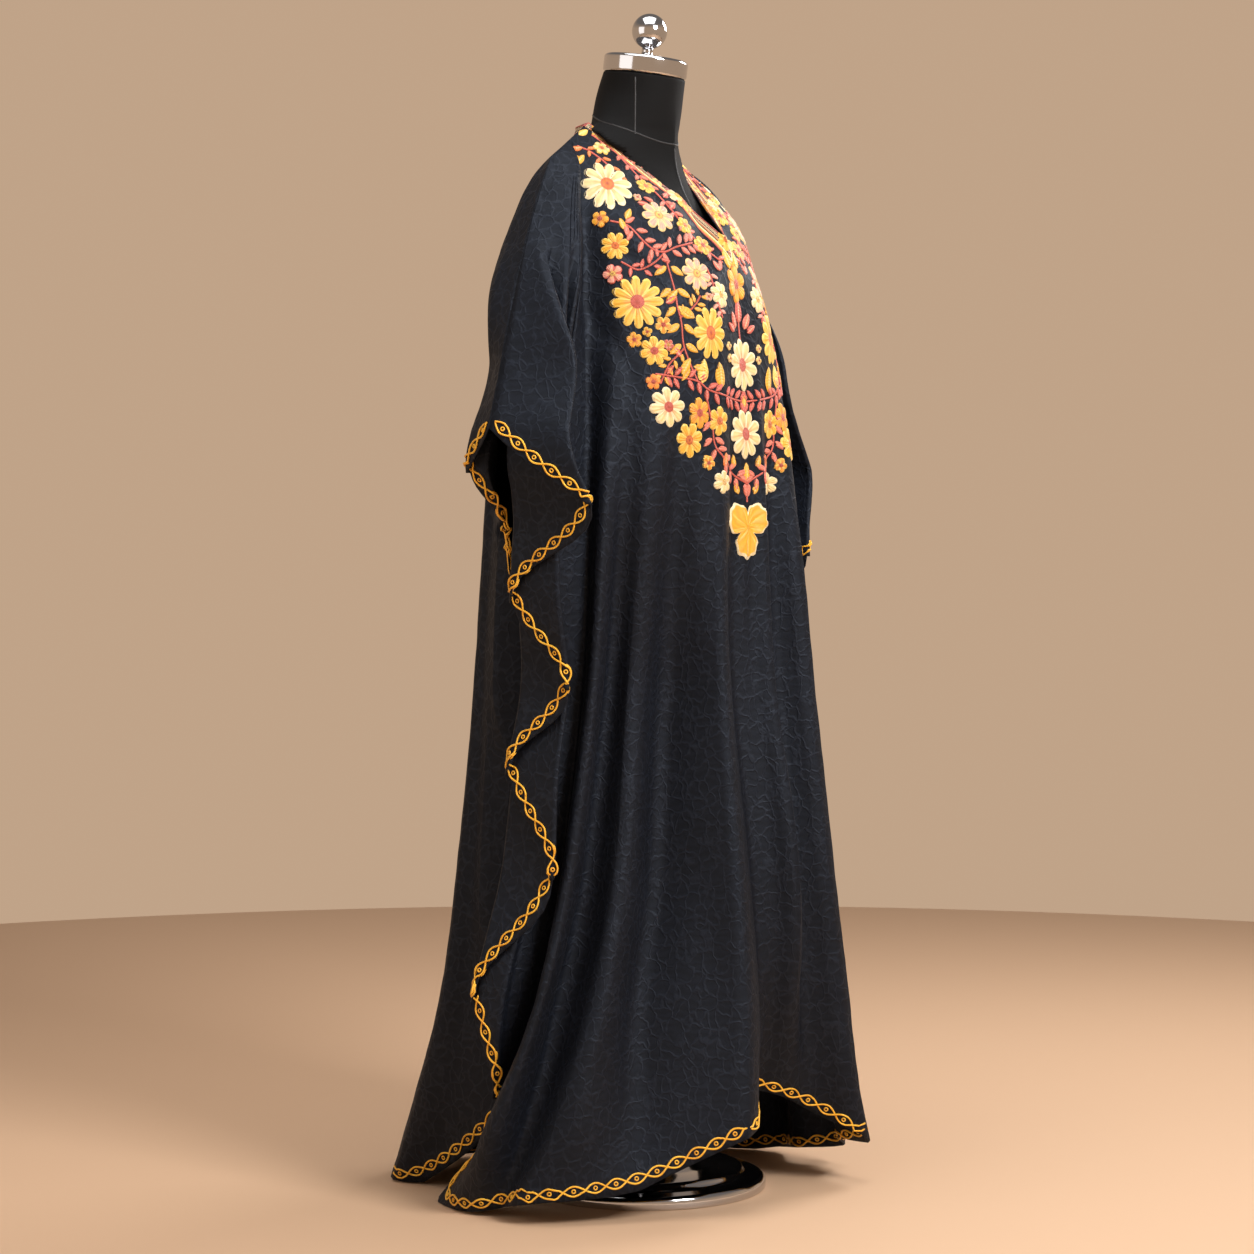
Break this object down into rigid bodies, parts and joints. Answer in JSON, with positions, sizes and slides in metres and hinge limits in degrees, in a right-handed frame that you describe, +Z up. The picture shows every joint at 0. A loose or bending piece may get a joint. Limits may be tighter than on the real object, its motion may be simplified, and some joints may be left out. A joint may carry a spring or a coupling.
{
  "type": "kaftan on a dress form",
  "caption": "Full-length wide rectangular kaftan with a braided V neck and cascading side folds, on a limbless dress form with a round base.",
  "frame": {"origin": "on the floor at the middle of the stand's round base", "axes": "+Z up, the front of the garment faces -Y, the wearer's right is -X"},
  "size_m": [0.7139, 0.6299, 1.6503],
  "materials": {
    "cloth": "charcoal crinkle jacquard with a soft sheen, gold chain trim and an embroidered yoke",
    "braid": "coral, brown, cream and gold woven braid",
    "form_cloth": "fine black stretch cloth with sewn seam lines",
    "chrome": "polished chrome"
  },
  "bodies": {
    "root": {"front_panel": "cloth", "back_panel": "cloth", "neck_band_front": "braid", "neck_band_back": "braid", "torso": "form_cloth", "neck_cap": "chrome", "finial": "chrome", "pole": "chrome", "base": "chrome"}
  },
  "joints": []
}
